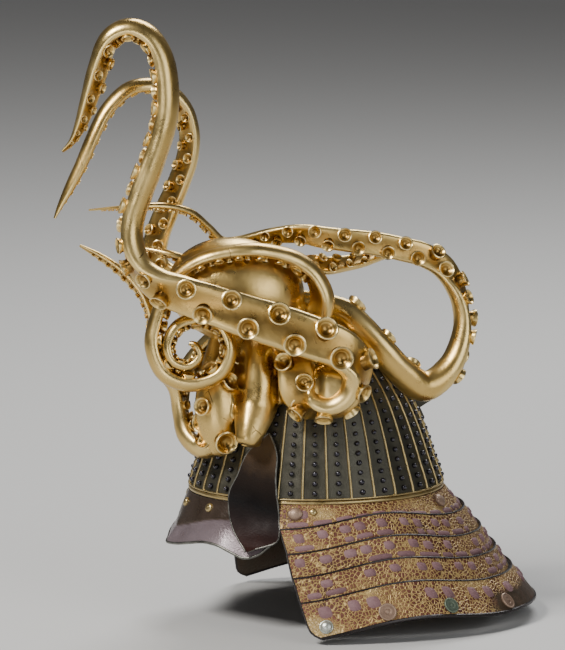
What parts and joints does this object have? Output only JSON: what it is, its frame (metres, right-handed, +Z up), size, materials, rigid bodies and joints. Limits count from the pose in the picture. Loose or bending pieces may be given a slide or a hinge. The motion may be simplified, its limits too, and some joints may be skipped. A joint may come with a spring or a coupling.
{
  "type": "kabuto samurai helmet",
  "caption": "Ribbed iron samurai helmet with a visor, turned-back ears, a laced neck guard of hoop plates and a gilded octopus crest whose arms coil round the bowl.",
  "frame": {"origin": "middle of the head opening, at the foot of the bowl, where the helmet sits on a head", "axes": "+Z up out of the crown, -Y to the front over the visor, +X to the wearer's left"},
  "size_m": [0.3482, 0.4483, 0.5589],
  "materials": {
    "iron": "dark patinated iron with a dull sheen",
    "brass": "aged brass",
    "lacquer": "dark brown-purple lacquer over iron, glossy where it is whole",
    "gilt_leather": "crackled gilt leather over plates, worn",
    "gold_leaf": "gold leaf over carved wood, satin",
    "disc_metal": "tarnished metal"
  },
  "bodies": {
    "root": {"bowl_plates": "iron", "base_ring": "brass", "visor": "lacquer", "visor_rivet_1": "brass", "visor_rivet_2": "brass", "visor_rivet_3": "brass", "turnback_left": "lacquer", "turnback_right": "lacquer", "lame_1": "gilt_leather", "lame_2": "gilt_leather", "lame_3": "gilt_leather", "lame_4": "gilt_leather", "lame_5": "gilt_leather", "lame_boss_left_1": "brass", "lame_boss_left_2": "brass", "lame_boss_left_3": "brass", "lame_boss_right_1": "brass", "lame_boss_right_2": "brass", "lame_boss_right_3": "brass", "hem_disc_left_1": "disc_metal", "hem_disc_left_2": "disc_metal", "hem_disc_left_3": "disc_metal", "hem_disc_left_4": "disc_metal", "hem_disc_right_1": "disc_metal", "hem_disc_right_2": "disc_metal", "hem_disc_right_3": "disc_metal", "hem_disc_right_4": "disc_metal", "rear_bracket": "iron", "octopus_body": "gold_leaf", "arm_riser": "gold_leaf", "arm_spiral": "gold_leaf", "arm_loop": "gold_leaf", "arm_curl": "gold_leaf", "arm_rear": "gold_leaf", "arm_inner": "gold_leaf", "arm_tip": "gold_leaf", "arm_far": "gold_leaf"}
  },
  "joints": []
}
